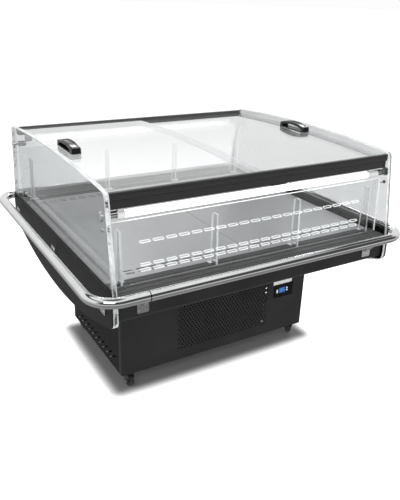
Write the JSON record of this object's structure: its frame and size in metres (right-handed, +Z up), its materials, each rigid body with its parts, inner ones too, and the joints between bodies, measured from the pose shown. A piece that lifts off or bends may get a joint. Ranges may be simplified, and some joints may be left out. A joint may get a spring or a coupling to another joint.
{
  "type": "refrigerated island display cabinet",
  "caption": "Low island display fridge: clear cabinet with sliding curved lids over a chilled deck, ringed by a tubular bumper, on a louvred pedestal with castors.",
  "frame": {"origin": "on the floor, under the middle of the bumper ring", "axes": "+X to the right along the long side, +Y to the back, away from the side with the controller, +Z up"},
  "size_m": [1.422, 1.282, 0.9882],
  "materials": {
    "clear": "polished",
    "clear_lid": "polished",
    "black_steel": "satin",
    "foam": "matte",
    "stainless": "satin",
    "black_plastic": "satin",
    "black_aluminium": "satin",
    "dark_aluminium": "satin",
    "lamp": "gloss",
    "light_plastic": "satin",
    "chrome": "polished",
    "zinc": "satin",
    "screw_steel": "satin",
    "display": "gloss",
    "white_plastic": "satin",
    "label": "satin",
    "black_enamel": "gloss",
    "coil_aluminium": "satin",
    "fan_plastic": "satin",
    "tray_plastic": "matte",
    "copper": "satin",
    "castor_black": "satin",
    "castor_tread": "matte"
  },
  "bodies": {
    "cabinet": {"end_panel_left": "clear", "end_panel_right": "clear", "end_plate_left": "black_steel", "end_plate_right": "black_steel", "tub_shell": "black_steel", "tub_insulation": "foam", "inner_liner": "stainless", "front_ledge": "black_plastic", "rear_ledge": "black_plastic", "front_rail": "black_aluminium", "back_rail": "dark_aluminium", "front_pane": "clear", "rear_pane": "clear", "pane_fins": "clear", "lamp_tubes": "lamp", "lamp_holders": "light_plastic", "panel_fixings": "chrome", "bumper_tube": "chrome", "bumper_brackets": "chrome", "base_frame": "zinc", "front_panel": "black_steel", "front_grille": "black_steel", "left_side_panel": "black_steel", "right_side_panel": "black_steel", "rear_panel": "black_steel", "panel_screws": "screw_steel", "controller_bezel": "black_plastic", "controller_display": "display", "label_plate": "label", "compressor": "black_enamel", "condenser_coil": "coil_aluminium", "condenser_fan_unit": "zinc", "condensate_tray": "tray_plastic", "drain_pipe": "tray_plastic", "refrigerant_lines": "copper", "evaporator_coil": "coil_aluminium", "evaporator_fan_unit": "zinc", "power_inlet": "black_plastic"},
    "left_lid": {"lid_left": "clear_lid", "lid_handle_left": "black_plastic"},
    "right_lid": {"lid_right": "clear_lid", "lid_handle_right": "black_plastic"},
    "left_tray": {"deck_tray_left": "stainless"},
    "right_tray": {"deck_tray_right": "stainless"},
    "left_key": {"button_left": "white_plastic"},
    "upper_key": {"button_upper": "white_plastic"},
    "lower_key": {"button_lower": "white_plastic"},
    "condenser_rotor": {"condenser_fan_blades": "fan_plastic"},
    "evaporator_rotor_left": {"evaporator_fan_left": "fan_plastic"},
    "evaporator_rotor_right": {"evaporator_fan_right": "fan_plastic"},
    "fork_front_left": {"castor_fork_front_left": "castor_black"},
    "wheel_front_left": {"castor_wheel_front_left": "castor_tread"},
    "fork_front_right": {"castor_fork_front_right": "castor_black"},
    "wheel_front_right": {"castor_wheel_front_right": "castor_tread"},
    "fork_rear_left": {"castor_fork_rear_left": "castor_black"},
    "wheel_rear_left": {"castor_wheel_rear_left": "castor_tread"},
    "lever_rear_left": {"castor_brake_rear_left": "castor_black"},
    "fork_rear_right": {"castor_fork_rear_right": "castor_black"},
    "wheel_rear_right": {"castor_wheel_rear_right": "castor_tread"},
    "lever_rear_right": {"castor_brake_rear_right": "castor_black"}
  },
  "joints": [
    {"name": "left_lid_slide", "type": "slide", "parent": "cabinet", "child": "left_lid", "axis": [1, 0, 0], "range_m": [0, 0.53]},
    {"name": "right_lid_slide", "type": "slide", "parent": "cabinet", "child": "right_lid", "axis": [1, 0, 0], "range_m": [-0.53, 0]},
    {"name": "left_tray_lift", "type": "slide", "parent": "cabinet", "child": "left_tray", "axis": [0, 0, 1], "range_m": [0, 0.25]},
    {"name": "right_tray_lift", "type": "slide", "parent": "cabinet", "child": "right_tray", "axis": [0, 0, 1], "range_m": [0, 0.25]},
    {"name": "left_key_press", "type": "slide", "parent": "cabinet", "child": "left_key", "axis": [0, 1, 0], "range_m": [0, 0.0012], "stiffness_N_per_m": 600},
    {"name": "upper_key_press", "type": "slide", "parent": "cabinet", "child": "upper_key", "axis": [0, 1, 0], "range_m": [0, 0.0012], "stiffness_N_per_m": 600},
    {"name": "lower_key_press", "type": "slide", "parent": "cabinet", "child": "lower_key", "axis": [0, 1, 0], "range_m": [0, 0.0012], "stiffness_N_per_m": 600},
    {"name": "condenser_fan_spin", "type": "hinge", "parent": "cabinet", "child": "condenser_rotor", "pos_m": [0.02, -0.209, 0.229], "axis": [0, 1, 0], "continuous": true},
    {"name": "evaporator_fan_left_spin", "type": "hinge", "parent": "cabinet", "child": "evaporator_rotor_left", "pos_m": [-0.13, 0.183, 0.52], "axis": [0, 1, 0], "continuous": true},
    {"name": "evaporator_fan_right_spin", "type": "hinge", "parent": "cabinet", "child": "evaporator_rotor_right", "pos_m": [0.13, 0.183, 0.52], "axis": [0, 1, 0], "continuous": true},
    {"name": "front_left_swivel", "type": "hinge", "parent": "cabinet", "child": "fork_front_left", "pos_m": [-0.431, -0.248, 0.06], "axis": [0, 0, 1], "continuous": true},
    {"name": "front_left_roll", "type": "hinge", "parent": "fork_front_left", "child": "wheel_front_left", "pos_m": [-0.42822, -0.26376, 0.025], "axis": [-0.9848, -0.1736, 0], "continuous": true},
    {"name": "front_right_swivel", "type": "hinge", "parent": "cabinet", "child": "fork_front_right", "pos_m": [0.431, -0.248, 0.06], "axis": [0, 0, 1], "continuous": true},
    {"name": "front_right_roll", "type": "hinge", "parent": "fork_front_right", "child": "wheel_front_right", "pos_m": [0.43699, -0.23317, 0.025], "axis": [0.9272, -0.3746, 0], "continuous": true},
    {"name": "rear_left_swivel", "type": "hinge", "parent": "cabinet", "child": "fork_rear_left", "pos_m": [-0.431, 0.248, 0.06], "axis": [0, 0, 1], "continuous": true},
    {"name": "rear_left_roll", "type": "hinge", "parent": "fork_rear_left", "child": "wheel_rear_left", "pos_m": [-0.431, 0.264, 0.025], "axis": [1, 0, 0], "continuous": true},
    {"name": "rear_left_brake", "type": "hinge", "parent": "fork_rear_left", "child": "lever_rear_left", "pos_m": [-0.431, 0.2762, 0.0545], "axis": [1, 0, 0], "range_deg": [0, 16]},
    {"name": "rear_right_swivel", "type": "hinge", "parent": "cabinet", "child": "fork_rear_right", "pos_m": [0.431, 0.248, 0.06], "axis": [0, 0, 1], "continuous": true},
    {"name": "rear_right_roll", "type": "hinge", "parent": "fork_rear_right", "child": "wheel_rear_right", "pos_m": [0.431, 0.264, 0.025], "axis": [1, 0, 0], "continuous": true},
    {"name": "rear_right_brake", "type": "hinge", "parent": "fork_rear_right", "child": "lever_rear_right", "pos_m": [0.431, 0.2762, 0.0545], "axis": [1, 0, 0], "range_deg": [0, 16]}
  ]
}
